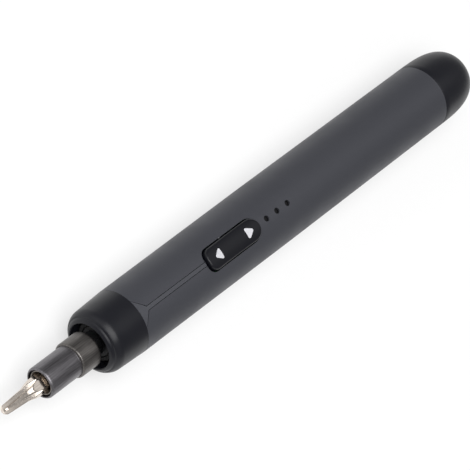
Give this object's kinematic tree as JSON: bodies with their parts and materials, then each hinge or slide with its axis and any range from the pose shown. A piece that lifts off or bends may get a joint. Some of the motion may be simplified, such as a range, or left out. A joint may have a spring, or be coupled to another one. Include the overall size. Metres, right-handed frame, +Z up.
{
  "type": "electric torque screwdriver",
  "caption": "Pen-shaped cordless electric screwdriver: round grey body, black nose and domed tail, rocker button with arrows, indicator holes, keyless hexagon chuck and a cross-head bit.",
  "frame": {"origin": "bottom centre of the bounding box: below the tool axis, half way along the tool, on the surface it lies on", "axes": "+X along the tool axis from bit to tail, +Z up through the rocker button, +Y across"},
  "size_m": [0.1706, 0.0174, 0.0184],
  "materials": {
    "body_grey": "satin",
    "chassis_grey": "satin",
    "cap_black": "satin",
    "seal_black": "matt",
    "bright_steel": "bright",
    "board_black": "matt",
    "board_green": "satin",
    "lead_red": "satin",
    "screw_steel": "satin",
    "led_cream": "gloss",
    "smoke_lens": "gloss",
    "button_black": "satin",
    "arrow_white": "satin",
    "cell_sleeve": "satin film",
    "can_steel": "satin",
    "motor_cream": "matt",
    "brass": "bright",
    "gear_acetal": "satin",
    "bronze": "satin",
    "spindle_steel": "satin",
    "collar_steel": "brushed",
    "sleeve_steel": "brushed",
    "liner_steel": "bright",
    "magnet": "matt",
    "bit_steel": "satin"
  },
  "bodies": {
    "body": {"body_shell": "body_grey", "chassis": "chassis_grey", "nose_cap": "cap_black", "tail_cap": "cap_black", "nose_seal": "seal_black", "usb_shell": "bright_steel", "usb_tongue": "board_black", "charge_board": "board_green", "charge_leads": "lead_red", "circuit_board": "board_green", "board_chips": "board_black", "board_screws": "screw_steel", "indicator_leds": "led_cream", "light_pipe": "smoke_lens", "snap_domes": "bright_steel", "pivot_pin": "bright_steel", "cell": "cell_sleeve", "cell_tabs": "bright_steel", "motor_can": "can_steel", "motor_end": "motor_cream", "motor_terminals": "brass", "motor_plate": "can_steel", "motor_screws": "screw_steel", "ring_gear": "gear_acetal", "spindle_bush": "bronze", "thrust_washer": "bright_steel"},
    "button": {"rocker_button": "button_black", "arrow_inlays": "arrow_white"},
    "spindle": {"spindle": "spindle_steel", "chuck_collar": "collar_steel", "chuck_sleeve": "sleeve_steel", "hex_liner": "liner_steel", "magnet": "magnet", "retaining_ring": "screw_steel"},
    "bit": {"screw_bit": "bit_steel"},
    "rotor": {"motor_shaft": "bright_steel", "sun_gear": "brass"},
    "carrier": {"carrier": "bright_steel"},
    "planet_1a": {"planet_1a": "gear_acetal"},
    "planet_1b": {"planet_1b": "gear_acetal"},
    "planet_1c": {"planet_1c": "gear_acetal"},
    "planet_2a": {"planet_2a": "bronze"},
    "planet_2b": {"planet_2b": "bronze"},
    "planet_2c": {"planet_2c": "bronze"}
  },
  "joints": [
    {"name": "rocker_tilt", "type": "hinge", "parent": "body", "child": "button", "pos_m": [-0.01295, 0, 0.0141], "axis": [0, 1, 0], "range_deg": [-3, 3], "stiffness_Nm_per_rad": 0.12, "deforming": ["snap_domes"]},
    {"name": "spindle_spin", "type": "hinge", "parent": "body", "child": "spindle", "pos_m": [-0.04985, 0, 0.00875], "axis": [1, 0, 0], "continuous": true},
    {"name": "bit_pull", "type": "slide", "parent": "spindle", "child": "bit", "axis": [-1, 0, 0], "range_m": [0, 0.017]},
    {"name": "carrier_spin", "type": "hinge", "parent": "body", "child": "carrier", "pos_m": [-0.04605, 0, 0.00875], "axis": [1, 0, 0], "continuous": true},
    {"name": "rotor_spin", "type": "hinge", "parent": "body", "child": "rotor", "pos_m": [-0.0448, 0, 0.00875], "axis": [1, 0, 0], "continuous": true},
    {"name": "planet_1a_spin", "type": "hinge", "parent": "carrier", "child": "planet_1a", "pos_m": [-0.0448, 0, 0.00535], "axis": [1, 0, 0], "continuous": true},
    {"name": "planet_1b_spin", "type": "hinge", "parent": "carrier", "child": "planet_1b", "pos_m": [-0.0448, 0.00295, 0.01045], "axis": [1, 0, 0], "continuous": true},
    {"name": "planet_1c_spin", "type": "hinge", "parent": "carrier", "child": "planet_1c", "pos_m": [-0.0448, -0.00295, 0.01045], "axis": [1, 0, 0], "continuous": true},
    {"name": "planet_2a_spin", "type": "hinge", "parent": "spindle", "child": "planet_2a", "pos_m": [-0.0486, 0, 0.00535], "axis": [1, 0, 0], "continuous": true},
    {"name": "planet_2b_spin", "type": "hinge", "parent": "spindle", "child": "planet_2b", "pos_m": [-0.0486, 0.00295, 0.01045], "axis": [1, 0, 0], "continuous": true},
    {"name": "planet_2c_spin", "type": "hinge", "parent": "spindle", "child": "planet_2c", "pos_m": [-0.0486, -0.00295, 0.01045], "axis": [1, 0, 0], "continuous": true}
  ],
  "couplings": [
    {"joint": "carrier_spin", "follows": "spindle_spin", "ratio": 4.6667},
    {"joint": "rotor_spin", "follows": "spindle_spin", "ratio": 21.778},
    {"joint": "planet_1a_spin", "follows": "spindle_spin", "ratio": -12.833},
    {"joint": "planet_1b_spin", "follows": "spindle_spin", "ratio": -12.833},
    {"joint": "planet_1c_spin", "follows": "spindle_spin", "ratio": -12.833},
    {"joint": "planet_2a_spin", "follows": "spindle_spin", "ratio": -2.75},
    {"joint": "planet_2b_spin", "follows": "spindle_spin", "ratio": -2.75},
    {"joint": "planet_2c_spin", "follows": "spindle_spin", "ratio": -2.75}
  ]
}
